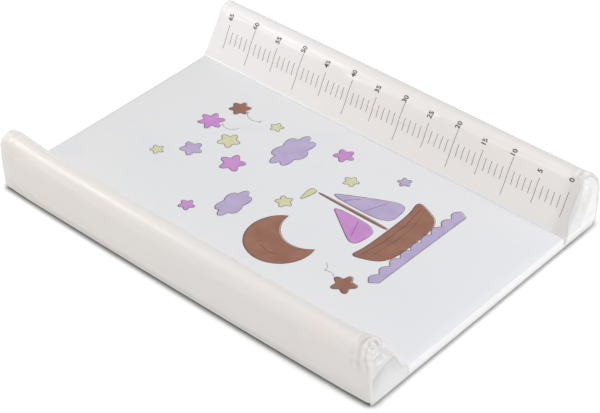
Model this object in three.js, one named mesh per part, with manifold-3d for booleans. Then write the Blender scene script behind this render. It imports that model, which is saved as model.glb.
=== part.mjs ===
// Hard-base changing mat with two raised side bolsters.
// A hardboard panel carries a foam pad between two foam bolsters. A cover of white PVC film goes over the foam, is
// turned under the board and stapled there over a non-woven backing. A folded strip finishes each short end.
// Millimetres. X runs along the bolsters, Y across the mat and Z up. The origin is on the floor, under the middle.
import * as THREE from "three";
import { mergeVertices } from "three/addons/utils/BufferGeometryUtils.js";
import Module from "manifold-3d";

const wasm = await Module();
wasm.setup();

// The whole mat
const matLength = 700;
const matWidth = 500;
const crestHeight = 92.5;
const lyingHeight = 18.5;

// Layers
const filmThickness = 0.6;
const clothThickness = 0.5;
const boardThickness = 3;
const layerGap = 0.2; // between flat layers that lie on each other
const skinGap = 0.4; // between the film and the foam or board inside it
const jointGap = 0.3; // between the edges of two film panels

// Bolster cover
const bolsterWidth = 74; // from the foot of the slope to the outer face
const crestRadius = 18;
const footFillet = 3;
const seamReach = 1; // flat strip between the foot fillet and the seam
const seamDip = 1; // how far the film is drawn down at the seam
const slopeCrown = 0.8;
const faceCrown = 1.2;
const crownReach = 60; // the crowns fade out over this length at each end
const lowerCornerRadius = 2;
const hemWidth = 28;
const edgeRadius = 4; // where the cover turns in over the end caps
const lipInset = 1.5; // from the end of the mat to the edge of the turned-in lip

// Gathers where the film is drawn together over the end of the crest
const gatherDepth = 1.4;
const gatherReach = 34;
const gatherCount = 5;
const endPuff = 2;
const puffReach = 70;

// End cap
const capCrown = 2.5;
const capFullnessShare = 0.6; // under 1 the crown rises steeply at the rim and is flatter in the middle
const capTopHalf = 0.6; // half the least width of the cap, at its top
const creaseDepth = 0.9;
const creaseWidth = 9;
const creaseRadius = 46; // the crease is an arc round the outer lower corner of the cap

// Lying pad
const padCrown = 1.5;
const rimRadius = 3.5;
const dipReach = 3; // the pad's film is drawn down over this width at each seam

// Base board and backing
const boardCornerRadius = 5;
const clothMargin = 12; // from the edge of the mat to the edge of the backing
const clothCornerRadius = 8;

// Folded strip under each short end
const endHemThickness = 3.2;
const endHemWidth = 26;
const endHemRounding = 1;

// Staples
const stapleCrown = 10;
const stapleWire = 0.6;
const stapleWireWidth = 1.2;
const stapleBend = 0.9;
const stapleBite = 2.2; // how deep a leg goes into the board
const stapleRecess = 0.3; // how deep a crown is pressed into the folded strip
const slotClearance = 0.2;
const sideStapleInset = 15;
const sideStapleEndGap = 60; // from the mat's short end to the first staple of a long row
const sideStapleCount = 7;
const endStapleInset = 14;
const endStapleSideGap = 70; // from the mat's long side to the first staple of a short row
const endStapleCount = 5;

// Facets
const filletSteps = 4;
const slopeSteps = 4;
const crestSteps = 20;
const faceSteps = 4;
const cornerSteps = 3;
const rimSteps = 4;
const lipSteps = 2;
const gatherSteps = 2;
const padRows = 6;
const roundSteps = 4;
const toeSteps = 2;
const capAcrossShares = [0, 0.1, 0.24, 0.42, 0.6, 0.78, 0.91, 1];
const padTopShares = [0, 0.3, 0.6, 0.85];

// Sizes that follow
const halfLength = matLength / 2;
const halfWidth = matWidth / 2;
const faceY = halfWidth - faceCrown;
const filmUnderside = endHemThickness + layerGap;
const clothUnderside = filmUnderside + filmThickness + layerGap;
const boardUnderside = clothUnderside + clothThickness + layerGap;
const foamUnderside = boardUnderside + boardThickness + layerGap;
const foamInset = filmThickness + skinGap;
const capDepth = capCrown + filmThickness + skinGap;
const sideStapleSpan = matLength - 2 * sideStapleEndGap;
const endStapleSpan = matWidth - 2 * endStapleSideGap;
const quarterTurn = Math.PI / 2;

// The slope is the line from the foot that touches the round of the crest
const foot = new THREE.Vector2(halfWidth - bolsterWidth, lyingHeight);
const crestCentre = new THREE.Vector2(faceY - crestRadius, crestHeight - crestRadius);
const footToCrest = crestCentre.clone().sub(foot);
const slopeAngle = footToCrest.angle() + Math.asin(crestRadius / footToCrest.length());
const slopeNormal = slopeAngle + quarterTurn;
const filletReach = footFillet * Math.tan(slopeAngle / 2);
const seamY = foot.x - filletReach - seamReach;

// Finishes

const finishes = {
  film: { color: 0xefedea, roughness: 0.34, metalness: 0 },
  printedFilm: { color: 0xe6e8ea, roughness: 0.36, metalness: 0 },
  foam: { color: 0xf2e6bf, roughness: 0.95, metalness: 0 },
  hardboard: { color: 0x7d5a3c, roughness: 0.7, metalness: 0 },
  backing: { color: 0xdcdcd8, roughness: 0.92, metalness: 0 },
  wire: { color: 0xb4b8bc, roughness: 0.35, metalness: 0.9 },
};

const mat = new THREE.Group();

function addPiece(name, geometry, finish) {
  const piece = new THREE.Mesh(geometry, new THREE.MeshStandardMaterial(finishes[finish]));
  piece.name = name;
  mat.add(piece);
  return piece;
}

// Solids from surfaces

function turnedOut(geometry) {
  const place = geometry.attributes.position;
  const corners = geometry.index.array;
  const [a, b, c] = [new THREE.Vector3(), new THREE.Vector3(), new THREE.Vector3()];
  let volume = 0;
  for (let i = 0; i < corners.length; i += 3) {
    a.fromBufferAttribute(place, corners[i]);
    b.fromBufferAttribute(place, corners[i + 1]);
    c.fromBufferAttribute(place, corners[i + 2]);
    volume += a.dot(b.cross(c));
  }
  if (volume < 0) geometry.setIndex(Array.from(corners).reverse());
  geometry.computeVertexNormals();
  return geometry;
}

function fromPoints(points, corners) {
  const geometry = new THREE.BufferGeometry().setFromPoints(points);
  geometry.setIndex(corners);
  return turnedOut(geometry);
}

// A thin sheet between an outer and an inner grid of points, closed all round its edge
function sheetBetween(outer, inner) {
  const rows = outer.length;
  const columns = outer[0].length;
  const corners = [];
  const at = (side, row, column) => (side * rows + row) * columns + column;
  const quad = (a, b, c, d) => corners.push(a, b, c, a, c, d);
  for (let r = 0; r < rows - 1; r += 1) {
    for (let c = 0; c < columns - 1; c += 1) {
      quad(at(0, r, c), at(0, r + 1, c), at(0, r + 1, c + 1), at(0, r, c + 1));
      quad(at(1, r, c), at(1, r, c + 1), at(1, r + 1, c + 1), at(1, r + 1, c));
    }
    quad(at(0, r, 0), at(1, r, 0), at(1, r + 1, 0), at(0, r + 1, 0));
    const last = columns - 1;
    quad(at(0, r, last), at(0, r + 1, last), at(1, r + 1, last), at(1, r, last));
  }
  for (let c = 0; c < columns - 1; c += 1) {
    const last = rows - 1;
    quad(at(0, 0, c), at(0, 0, c + 1), at(1, 0, c + 1), at(1, 0, c));
    quad(at(0, last, c), at(1, last, c), at(1, last, c + 1), at(0, last, c + 1));
  }
  return fromPoints([...outer.flat(), ...inner.flat()], corners);
}

// Extrusions

const [axisX, axisY, axisZ] = [
  new THREE.Vector3(1, 0, 0),
  new THREE.Vector3(0, 1, 0),
  new THREE.Vector3(0, 0, 1),
];
const alongMat = new THREE.Matrix4().makeBasis(axisY, axisZ, axisX);
const acrossMat = new THREE.Matrix4().makeBasis(axisX, axisZ, axisY.clone().negate());

// The outline is drawn in the plane of the section, and the solid is centred on it
function centredPrism(outline, depth, basis) {
  const settings = { depth, bevelEnabled: false, curveSegments: roundSteps };
  const prism = new THREE.ExtrudeGeometry(outline, settings);
  prism.translate(0, 0, -depth / 2);
  return prism.applyMatrix4(basis);
}

function roundedRectangle(length, width, radius) {
  const [x, y] = [length / 2, width / 2];
  const outline = new THREE.Shape();
  outline.moveTo(radius - x, -y);
  outline.absarc(x - radius, radius - y, radius, -quarterTurn, 0);
  outline.absarc(x - radius, y - radius, radius, 0, quarterTurn);
  outline.absarc(radius - x, y - radius, radius, quarterTurn, 2 * quarterTurn);
  outline.absarc(radius - x, radius - y, radius, 2 * quarterTurn, 3 * quarterTurn);
  return outline;
}

function flatPanel(outline, underside, thickness) {
  const settings = { depth: thickness, bevelEnabled: false, curveSegments: roundSteps };
  return new THREE.ExtrudeGeometry(outline, settings).translate(0, 0, underside);
}

// Booleans

function solidFrom(geometry) {
  const bare = geometry.clone();
  bare.deleteAttribute("normal");
  bare.deleteAttribute("uv");
  const merged = mergeVertices(bare);
  const vertProperties = new Float32Array(merged.attributes.position.array);
  const triVerts = new Uint32Array(merged.index.array);
  return new wasm.Manifold(new wasm.Mesh({ numProp: 3, vertProperties, triVerts }));
}

function cutFrom(geometry, cutters) {
  let solid = solidFrom(geometry);
  for (const cutter of cutters) solid = solid.subtract(solidFrom(cutter));
  const { vertProperties, triVerts } = solid.getMesh();
  const result = new THREE.BufferGeometry();
  result.setAttribute("position", new THREE.BufferAttribute(vertProperties, 3));
  result.setIndex(new THREE.BufferAttribute(triVerts, 1));
  result.computeVertexNormals();
  return result;
}

// Bolster profile

const arch = (share) => Math.sin(Math.PI * share);
const fade = (distance, reach) => THREE.MathUtils.smoothstep(distance, 0, reach);
const steps = (count) => Array.from({ length: count + 1 }, (_, k) => k / count);

// The outside of a bolster's cover in the plane across the mat, from the seam at its foot, up the slope, over the
// crest, down the outer face and under the board. x is the distance from the mat's centre line, y the height.
function profilePoint(x, y, normalAngle, extra = {}) {
  const normal = new THREE.Vector2(Math.cos(normalAngle), Math.sin(normalAngle));
  return { place: new THREE.Vector2(x, y), normal, crown: 0, crestShare: 0, turn: 1, ...extra };
}

function onArc(centre, radius, angle, extra) {
  const [x, y] = [centre.x + radius * Math.cos(angle), centre.y + radius * Math.sin(angle)];
  return profilePoint(x, y, angle, extra);
}

const filletCentre = new THREE.Vector2(foot.x - filletReach, lyingHeight + footFillet);
const filletEnd = new THREE.Vector2(Math.cos(slopeAngle), Math.sin(slopeAngle))
  .multiplyScalar(filletReach)
  .add(foot);
const slopeEnd = new THREE.Vector2(Math.cos(slopeNormal), Math.sin(slopeNormal))
  .multiplyScalar(crestRadius)
  .add(crestCentre);
const lowerCentre = new THREE.Vector2(
  faceY - lowerCornerRadius,
  filmUnderside + lowerCornerRadius,
);

function seamStrip() {
  return [profilePoint(seamY + jointGap / 2, lyingHeight - seamDip, quarterTurn)];
}

function footRound() {
  return steps(filletSteps).map((share) => {
    const towards = slopeAngle * share + quarterTurn;
    const back = towards + Math.PI;
    const x = filletCentre.x + footFillet * Math.cos(back);
    return profilePoint(x, filletCentre.y + footFillet * Math.sin(back), towards);
  });
}

function slope() {
  return steps(slopeSteps)
    .slice(1, -1)
    .map((share) => {
      const place = filletEnd.clone().lerp(slopeEnd, share);
      const crown = slopeCrown * arch(share);
      return profilePoint(place.x, place.y, slopeNormal, { crown });
    });
}

function crest() {
  return steps(crestSteps).map((share) =>
    onArc(crestCentre, crestRadius, slopeNormal * (1 - share), { crestShare: share }),
  );
}

function outerFace() {
  const top = new THREE.Vector2(faceY, crestCentre.y);
  const bottom = new THREE.Vector2(faceY, lowerCentre.y);
  return steps(faceSteps)
    .slice(1, -1)
    .map((share) => {
      const place = top.clone().lerp(bottom, share);
      return profilePoint(place.x, place.y, 0, { crown: faceCrown * arch(share) });
    });
}

function lowerCorner() {
  return steps(cornerSteps).map((share) =>
    onArc(lowerCentre, lowerCornerRadius, -quarterTurn * share, { turn: 1 - share }),
  );
}

function turnedUnder() {
  return [profilePoint(halfWidth - hemWidth, filmUnderside, -quarterTurn, { turn: 0 })];
}

const abovePart = [...seamStrip(), ...footRound(), ...slope(), ...crest(), ...outerFace()];
const wholeProfile = [...abovePart, ...lowerCorner(), ...turnedUnder()];

const offsetPoint = ({ place, normal }, distance) =>
  place.clone().addScaledVector(normal, -distance);

// Bolster covers

// How far the cover has turned in at a distance from the end of the mat
function turnIn(inset) {
  const short = Math.max(edgeRadius - inset, 0);
  return edgeRadius - Math.sqrt(edgeRadius ** 2 - short ** 2);
}

function gather(crestShare) {
  return (1 - Math.cos(2 * Math.PI * gatherCount * crestShare)) / 2;
}

function coverSection(x) {
  const inset = halfLength - Math.abs(x);
  const crownScale = fade(inset, crownReach);
  const puff = endPuff * (1 - fade(inset, puffReach));
  const gathered = gatherDepth * (1 - fade(inset, gatherReach));
  return wholeProfile.map(({ place, normal, crown, crestShare, turn }) => {
    const atCrest = arch(crestShare);
    const raised = crown * crownScale + atCrest * (puff + gathered * gather(crestShare));
    const outward = raised - turn * turnIn(inset);
    const at = (distance) =>
      new THREE.Vector3(
        x,
        place.x + normal.x * distance,
        place.y + normal.y * distance,
      );
    return { outer: at(outward), inner: at(outward - filmThickness) };
  });
}

function stationInsets() {
  const lip = steps(lipSteps).map((share) => THREE.MathUtils.lerp(lipInset, edgeRadius, share));
  const gathers = steps(gatherSteps)
    .slice(1)
    .map((share) => THREE.MathUtils.lerp(edgeRadius, gatherReach, share));
  return [...lip, ...gathers, puffReach];
}

function bolsterCover() {
  const insets = stationInsets();
  const left = insets.map((inset) => inset - halfLength);
  const right = insets.map((inset) => halfLength - inset).reverse();
  const sections = [...left, 0, ...right].map(coverSection);
  const outer = sections.map((section) => section.map((point) => point.outer));
  const inner = sections.map((section) => section.map((point) => point.inner));
  return sheetBetween(outer, inner);
}

// End caps

// The cap fills the profile inside the cover's turned-in lip. It is crowned, has a shallow curved crease across it
// and is gathered under the end of the crest.
const capInset = turnIn(lipInset) + filmThickness + jointGap;
const capBottom = filmUnderside + filmThickness + skinGap;
const capFootY = seamY + jointGap;
const capRadius = crestRadius - capInset;
const creaseCentre = new THREE.Vector2(faceY, filmUnderside);

function outerSideAt(height) {
  const up = Math.max(height - crestCentre.y, 0);
  return crestCentre.x + Math.sqrt(capRadius ** 2 - up ** 2);
}

// Rows across the cap, from its bottom edge to the crest: where each starts on the slope side, and how high it is
function capRows() {
  const toeTop = lyingHeight - seamDip - capInset;
  const toe = steps(toeSteps).map((share) =>
    new THREE.Vector2(capFootY, THREE.MathUtils.lerp(capBottom, toeTop, share)),
  );
  const slopeSide = [...footRound(), ...slope(), ...crest()]
    .map((point) => offsetPoint(point, capInset))
    .filter((place, k, all) => k === 0 || place.y > all[k - 1].y);
  return [...toe, ...slopeSide.filter((place) => place.x < crestCentre.x - capTopHalf)];
}

function endCap() {
  const rows = capRows();
  const top = rows.at(-1).y;
  const reliefAt = (place, across) => {
    const up = THREE.MathUtils.inverseLerp(capBottom, top, place.y);
    const dome = capCrown * (arch(across) * arch(up)) ** capFullnessShare;
    const offCrease = (place.distanceTo(creaseCentre) - creaseRadius) / creaseWidth;
    const crease = creaseDepth * Math.exp(-(offCrease ** 2));
    const fromCrest = place.clone().sub(crestCentre);
    const reach = Math.min(fromCrest.length() / capRadius, 1);
    const folds = gather(fromCrest.angle() / slopeNormal) * reach * (1 - reach);
    const gathered = place.y > crestCentre.y ? gatherDepth * folds : 0;
    return Math.max(dome - crease + gathered, 0);
  };
  const grid = (depth) =>
    rows.map((start) =>
      capAcrossShares.map((across) => {
        const y = THREE.MathUtils.lerp(start.x, outerSideAt(start.y), across);
        const relief = reliefAt(new THREE.Vector2(y, start.y), across);
        return new THREE.Vector3(halfLength - capCrown + relief - depth, y, start.y);
      }),
    );
  return sheetBetween(grid(0), grid(filmThickness));
}

// Centre cover

// Half of its section along the mat, from the middle over the rim and under the board. x runs along the mat.
function padHalfSection() {
  const flatEnd = halfLength - rimRadius;
  const rimCentre = new THREE.Vector2(flatEnd, lyingHeight - rimRadius);
  const lowCentre = new THREE.Vector2(halfLength - lowerCornerRadius, lowerCentre.y);
  const top = padTopShares.map((share) =>
    profilePoint(flatEnd * share, lyingHeight, quarterTurn, { crown: 1 - share ** 2 }),
  );
  const rim = steps(rimSteps).map((share) =>
    onArc(rimCentre, rimRadius, quarterTurn * (1 - share)),
  );
  const low = steps(cornerSteps).map((share) =>
    onArc(lowCentre, lowerCornerRadius, -quarterTurn * share),
  );
  const hem = profilePoint(halfLength - hemWidth, filmUnderside, -quarterTurn);
  return [...top, ...rim, ...low, hem];
}

function centreCover() {
  const half = padHalfSection();
  const edgeY = seamY - jointGap / 2;
  const dipStart = 1 - dipReach / edgeY;
  const middleRows = steps(padRows).map((share) => (2 * share - 1) * dipStart);
  const rows = [-1, ...middleRows, 1];
  const pointAt = (point, side, rowShare, depth) => {
    const top = point.normal.y > 0 ? point.normal.y : 0;
    const dip = Math.abs(rowShare) === 1 ? seamDip : 0;
    const raise = padCrown * point.crown * (1 - rowShare ** 2) - dip * top;
    const x = point.place.x - point.normal.x * depth;
    const z = point.place.y - point.normal.y * depth + raise;
    return new THREE.Vector3(side * x, edgeY * rowShare, z);
  };
  const row = (rowShare, depth) => [
    ...half.map((point) => pointAt(point, -1, rowShare, depth)).reverse(),
    ...half.slice(1).map((point) => pointAt(point, 1, rowShare, depth)),
  ];
  return sheetBetween(
    rows.map((share) => row(share, 0)),
    rows.map((share) => row(share, filmThickness)),
  );
}

// Foam

function bolsterFoam() {
  const skin = abovePart.map((point) => offsetPoint(point, foamInset));
  const outerX = faceY - foamInset;
  const low = [
    new THREE.Vector2(outerX, foamUnderside),
    new THREE.Vector2(seamY + jointGap, foamUnderside),
  ];
  skin[0].x = seamY + jointGap;
  const outline = new THREE.Shape([...skin, ...low]);
  return centredPrism(outline, matLength - 2 * capDepth, alongMat);
}

function centreFoam() {
  const x = halfLength - foamInset;
  const top = lyingHeight - foamInset;
  const radius = rimRadius - foamInset;
  const outline = new THREE.Shape();
  outline.moveTo(-x, foamUnderside);
  outline.lineTo(x, foamUnderside);
  outline.absarc(x - radius, top - radius, radius, 0, quarterTurn);
  outline.absarc(radius - x, top - radius, radius, quarterTurn, 2 * quarterTurn);
  const width = 2 * (seamY - dipReach - skinGap);
  return centredPrism(outline, width, acrossMat);
}

// Folded strip under a short end, mitred at the corners like a turned hem

function endHem() {
  const outerX = halfLength - endHemRounding;
  const innerX = halfLength - endHemWidth;
  const longY = faceY - endHemRounding;
  const shortY = longY - (outerX - innerX);
  const outline = new THREE.Shape();
  outline.moveTo(innerX, -shortY);
  outline.lineTo(outerX, -longY);
  outline.lineTo(outerX, longY);
  outline.lineTo(innerX, shortY);
  const settings = {
    depth: endHemThickness - 2 * endHemRounding,
    bevelSize: endHemRounding,
    bevelThickness: endHemRounding,
    bevelSegments: cornerSteps,
  };
  return new THREE.ExtrudeGeometry(outline, settings).translate(0, 0, endHemRounding);
}

// Staples

// A staple is drawn in the plane of its legs, crown down, with chisel points
function staple(crownUnderside, basis) {
  const x = stapleCrown / 2;
  const tip = boardUnderside + stapleBite;
  const inside = x - stapleWire;
  const crownTop = crownUnderside + stapleWire;
  const bendY = crownUnderside + stapleBend;
  const outline = new THREE.Shape();
  outline.moveTo(-x, tip);
  outline.lineTo(-x, bendY);
  outline.absarc(stapleBend - x, bendY, stapleBend, 2 * quarterTurn, 3 * quarterTurn);
  outline.absarc(x - stapleBend, bendY, stapleBend, 3 * quarterTurn, 4 * quarterTurn);
  outline.lineTo(x, tip);
  outline.lineTo(inside, tip - stapleWire);
  outline.lineTo(inside, crownTop);
  outline.lineTo(-inside, crownTop);
  outline.lineTo(-inside, tip - stapleWire);
  return centredPrism(outline, stapleWireWidth, basis);
}

function legSlots(crownUnderside, basis) {
  const slotWidth = stapleWire + 2 * slotClearance;
  const slotDepth = stapleWireWidth + 2 * slotClearance;
  const top = boardUnderside + stapleBite + slotClearance;
  const height = top - crownUnderside;
  const legX = (stapleCrown - stapleWire) / 2;
  return [-legX, legX].map((x) =>
    new THREE.BoxGeometry(slotWidth, height, slotDepth)
      .translate(x, top - height / 2, 0)
      .applyMatrix4(basis),
  );
}

// The crown of an end staple lies in a pressed groove in the underside of the folded strip
function crownGroove(basis) {
  const length = stapleCrown + 2 * slotClearance;
  const width = stapleWireWidth + 2 * slotClearance;
  const top = stapleRecess + stapleWire + slotClearance;
  const height = top + slotClearance;
  return new THREE.BoxGeometry(length, height, width)
    .translate(0, top - height / 2, 0)
    .applyMatrix4(basis);
}

const evenly = (span, count) => steps(count - 1).map((share) => (share - 1 / 2) * span);
const sideCrownUnderside = filmUnderside - layerGap - stapleWire;

const sideStaples = evenly(sideStapleSpan, sideStapleCount).flatMap((x) =>
  [-1, 1].map((side) => ({ x, y: side * (halfWidth - sideStapleInset) })),
);
const endStaples = [-1, 1].flatMap((side) =>
  evenly(endStapleSpan, endStapleCount).map((y) => ({ x: side * (halfLength - endStapleInset), y })),
);

const moved = (geometry, { x, y }) => geometry.clone().translate(x, y, 0);
const sideSlots = sideStaples.flatMap((place) =>
  legSlots(sideCrownUnderside, acrossMat).map((slot) => moved(slot, place)),
);
const endSlots = endStaples.flatMap((place) =>
  legSlots(stapleRecess, alongMat).map((slot) => moved(slot, place)),
);
const isRear = (slot) => {
  slot.computeBoundingBox();
  return slot.boundingBox.min.y > 0;
};
const isRight = (slot) => {
  slot.computeBoundingBox();
  return slot.boundingBox.min.x > 0;
};

// Assembly

const boardOutline = roundedRectangle(
  matLength - 2 * capDepth,
  2 * (faceY - foamInset),
  boardCornerRadius,
);
const board = flatPanel(boardOutline, boardUnderside, boardThickness);
addPiece("base_board", cutFrom(board, [...sideSlots, ...endSlots]), "hardboard");

const clothOutline = roundedRectangle(
  matLength - 2 * clothMargin,
  matWidth - 2 * clothMargin,
  clothCornerRadius,
);
const cloth = flatPanel(clothOutline, clothUnderside, clothThickness);
addPiece("underside_cloth", cutFrom(cloth, [...sideSlots, ...endSlots]), "backing");

addPiece("centre_foam", centreFoam(), "foam");
addPiece("centre_cover", cutFrom(centreCover(), endSlots), "printedFilm");

// The rear pieces are drawn, and the front ones are their mirror images
const foamWedge = bolsterFoam();
const rearCover = cutFrom(bolsterCover(), sideSlots.filter(isRear));
const cap = endCap();
for (const [side, y] of [["rear", 1], ["front", -1]]) {
  addPiece(`${side}_bolster_foam`, foamWedge, "foam").scale.y = y;
  addPiece(`${side}_bolster_cover`, rearCover, "film").scale.y = y;
  for (const [end, x] of [["left", -1], ["right", 1]]) {
    addPiece(`${side}_${end}_end_cap`, cap, "film").scale.set(x, y, 1);
  }
}

const rightGrooves = endStaples
  .filter(({ x }) => x > 0)
  .map((place) => moved(crownGroove(alongMat), place));
const rightHem = cutFrom(endHem(), [...endSlots.filter(isRight), ...rightGrooves]);
for (const [end, x] of [["left", -1], ["right", 1]]) {
  addPiece(`${end}_end_hem`, rightHem, "film").scale.x = x;
}

const sideStaple = staple(sideCrownUnderside, acrossMat);
const endStaple = staple(stapleRecess, alongMat);
sideStaples.forEach((place, k) => {
  addPiece(`side_staple_${k + 1}`, sideStaple, "wire").position.set(place.x, place.y, 0);
});
endStaples.forEach((place, k) => {
  addPiece(`end_staple_${k + 1}`, endStaple, "wire").position.set(place.x, place.y, 0);
});

export default mat;
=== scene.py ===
import math

import bmesh
import bpy
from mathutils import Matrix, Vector, noise
from mathutils.bvhtree import BVHTree


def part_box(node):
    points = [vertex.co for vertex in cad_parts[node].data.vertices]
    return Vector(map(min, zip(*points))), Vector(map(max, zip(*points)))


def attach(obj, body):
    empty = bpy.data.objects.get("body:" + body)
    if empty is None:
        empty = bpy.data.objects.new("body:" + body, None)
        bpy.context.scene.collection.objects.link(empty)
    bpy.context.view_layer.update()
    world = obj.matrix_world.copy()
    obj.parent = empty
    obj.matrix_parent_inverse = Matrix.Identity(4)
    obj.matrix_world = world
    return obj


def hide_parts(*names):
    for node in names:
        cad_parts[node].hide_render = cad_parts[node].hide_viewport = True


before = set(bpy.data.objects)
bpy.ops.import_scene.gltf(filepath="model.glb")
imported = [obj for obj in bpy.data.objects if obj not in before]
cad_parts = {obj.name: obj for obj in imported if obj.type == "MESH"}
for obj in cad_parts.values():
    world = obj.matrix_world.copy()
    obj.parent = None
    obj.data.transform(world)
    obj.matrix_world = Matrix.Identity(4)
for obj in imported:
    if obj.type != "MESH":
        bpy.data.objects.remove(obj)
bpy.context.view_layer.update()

mm = 0.001
scene = bpy.context.scene
scene.view_settings.view_transform = "Standard"


def paint(red, green, blue):
    # a colour as a paint chart gives it, 0 to 255, for a shader socket
    chart = [c / 255 for c in (red, green, blue)]
    return [c / 12.92 if c < 0.04045 else ((c + 0.055) / 1.055) ** 2.4 for c in chart] + [1.0]


def setUp(thing, **facts):
    for name, value in facts.items():
        setattr(thing, name, value)
    return thing


def addNode(tree, kind, inputs, output=0, **facts):
    # a shader node with its sockets linked or set, known by one of its outputs
    node = setUp(tree.nodes.new("ShaderNode" + kind), **facts)
    for socket, value in inputs.items():
        if hasattr(value, "links"):
            tree.links.new(value, node.inputs[socket])
        else:
            node.inputs[socket].default_value = value
    return node.outputs[output]


def addNoise(tree, place, scale, detail=2.0, stretch=None):
    if stretch:
        place = addNode(tree, "Mapping", {"Vector": place, "Scale": stretch}, "Vector")
    return addNode(tree, "TexNoise", {"Vector": place, "Scale": scale, "Detail": detail}, "Fac")


def spread(tree, value, low, high, fromLow=0.35, fromHigh=0.65):
    ends = {"From Min": fromLow, "From Max": fromHigh, "To Min": low, "To Max": high}
    return addNode(tree, "MapRange", {"Value": value, **ends}, "Result")


def blendColours(tree, share, first, second):
    # sockets 6 and 7 of a Mix node are its two colours, and its output 2 is the mixed one
    return addNode(tree, "Mix", {"Factor": share, 6: first, 7: second}, 2, data_type="RGBA")


def tintBy(tree, tinted, value, ends, colour, most=1):
    # goes over to another colour from one value to the other
    return blendColours(tree, spread(tree, value, 0, most, *ends), tinted, colour)


def addBump(tree, shader, height, distance, under=None):
    inputs = {"Distance": distance, "Height": height}
    if under:
        inputs["Normal"] = under
    normal = addNode(tree, "Bump", inputs, "Normal")
    tree.links.new(normal, shader.inputs["Normal"])
    return normal


def readAttribute(tree, name):
    return addNode(tree, "Attribute", {}, "Fac", attribute_name=name)


def magnitude(tree, value):
    return addNode(tree, "Math", {0: value}, operation="ABSOLUTE")


def axesOf(tree, place):
    return addNode(tree, "SeparateXYZ", {0: place}).node.outputs


def startMaterial(name, roughness):
    material = bpy.data.materials.new(name)
    material.use_nodes = True
    tree = material.node_tree
    shader = tree.nodes["Principled BSDF"]
    shader.inputs["Roughness"].default_value = roughness
    return material, tree, shader, addNode(tree, "TexCoord", {}, "Object")


film = {
    "roughness": 0.34,
    "glossRange": (0.29, 0.4),
    "coat": 0.22,
    "coatRoughness": 0.12,
    "cloudScale": 7,
    "blushScale": 19,
    "blushRange": (0.52, 0.72),
    "rollScale": 26,
    "rollHeight": 0.25 * mm,
    "grainScale": 1300,
    "grainHeight": 0.015 * mm,
    "inkScale": 45,
    # how far painted light and shade come in along the mat: a tint towards the far left end of a bolster,
    # and a lighter one towards the near right of the panel
    "tintShare": 0.85,
    "farLeft": (0.05, -0.35),
    "nearRight": (-0.35, 0.35),
    "panelLitColour": paint(239, 240, 244),
    "edgeTintAndLight": paint(249, 249, 249),
    # the strip between the lying panel and the slope: the panel's cooler tint, a little darker as painted
    # shade at the foot of the slope
    "stripTintAndShade": paint(229, 229, 230),
    "stripHeight": (20 * mm, 18.8 * mm),
    "stripReach": (180 * mm, 178 * mm),
    # the end caps: where they begin, between which heights they are painted paler towards the floor, and the
    # painted light along the bottom rim of the film by the floor
    "capEdge": (-1 * mm, 2 * mm),
    "capHeight": (52 * mm, 10 * mm),
    "rimLightColour": paint(251, 249, 247),
    "rimLightHeight": (9 * mm, 1 * mm),
    # painted shade in the folds, and how much of it
    "foldShadeColour": paint(150, 144, 138),
    "foldShadeShare": 0.42,
    # the end seams: their painted shade, and the profile of the weld over its width
    "seamShade": (0.8 * mm, 0.2 * mm),
    "seamHeight": 0.22 * mm,
    "seamWidth": (-4 * mm, 4 * mm),
    "seamProfile": [(0.46, 1), (0.5, 0), (0.54, 0.9), (0.66, 0.9), (0.69, 0.45), (0.72, 1)],
}


def seamLines(tree):
    # the welded seam of an end cap: a fine groove and a narrow flat, by the distance from the seam
    gap = spread(tree, readAttribute(tree, "seamGap"), 0, 1, *film["seamWidth"])
    level = addNode(tree, "ValToRGB", {"Fac": gap}, "Color")
    marks = level.node.color_ramp.elements
    for mark in marks:
        mark.color = (1, 1, 1, 1)
    for place, high in film["seamProfile"]:
        marks.new(place).color = (high, high, high, 1)
    return level


def startFilm(name):
    material, tree, shader, place = startMaterial(name, film["roughness"])
    shader.inputs["Coat Weight"].default_value = film["coat"]
    shader.inputs["Coat Roughness"].default_value = film["coatRoughness"]
    return material, tree, shader, place


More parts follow.
